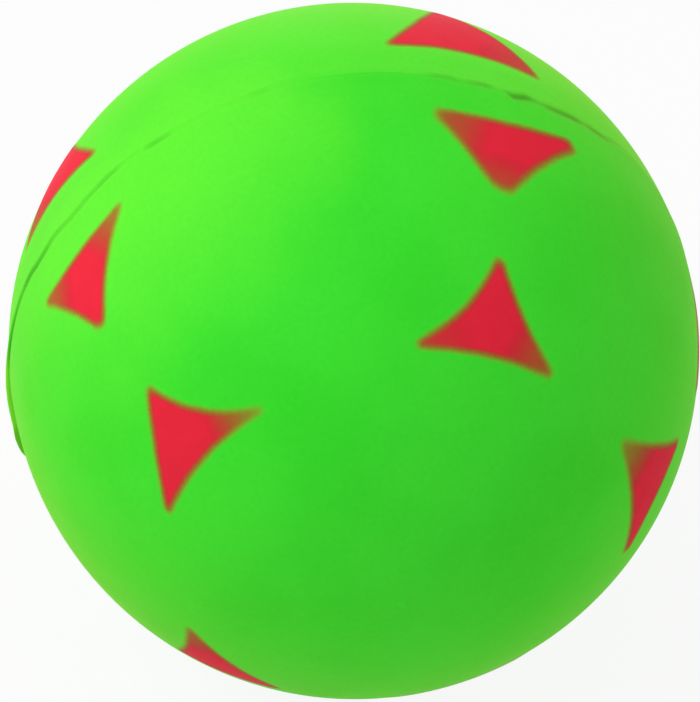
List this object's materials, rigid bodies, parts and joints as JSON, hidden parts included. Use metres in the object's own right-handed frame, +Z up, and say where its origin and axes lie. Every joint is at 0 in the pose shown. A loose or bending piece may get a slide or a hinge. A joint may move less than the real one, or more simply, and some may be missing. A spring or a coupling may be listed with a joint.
{
  "type": "dog ball",
  "caption": "Hollow rubber dog ball for throwing and fetching: moulded half shells cemented at an equatorial seam, a self-sealing plug inside, and sprayed three-cornered marks.",
  "frame": {"origin": "centre of the ball", "axes": "+Z up. Y is the mould's axis: the seam lies in the XZ plane, and the pole that faces the picture's camera is at -Y"},
  "size_m": [0.0652, 0.0654, 0.0652],
  "materials": {
    "green_rubber": "matte",
    "seam_cement": "matte",
    "gum_rubber": "matte",
    "red_paint": "matte"
  },
  "bodies": {
    "root": {"front_half_shell": "green_rubber", "rear_half_shell": "green_rubber", "seam_cement": "seam_cement", "sealing_plug": "gum_rubber", "front_inner_mark_1": "red_paint", "front_inner_mark_2": "red_paint", "front_inner_mark_3": "red_paint", "front_inner_mark_4": "red_paint", "front_inner_mark_5": "red_paint", "front_outer_mark_1": "red_paint", "front_outer_mark_2": "red_paint", "front_outer_mark_3": "red_paint", "front_outer_mark_4": "red_paint", "front_outer_mark_5": "red_paint", "rear_inner_mark_1": "red_paint", "rear_inner_mark_2": "red_paint", "rear_inner_mark_3": "red_paint", "rear_inner_mark_4": "red_paint", "rear_inner_mark_5": "red_paint", "rear_outer_mark_1": "red_paint", "rear_outer_mark_2": "red_paint", "rear_outer_mark_3": "red_paint", "rear_outer_mark_4": "red_paint", "rear_outer_mark_5": "red_paint"}
  },
  "joints": []
}
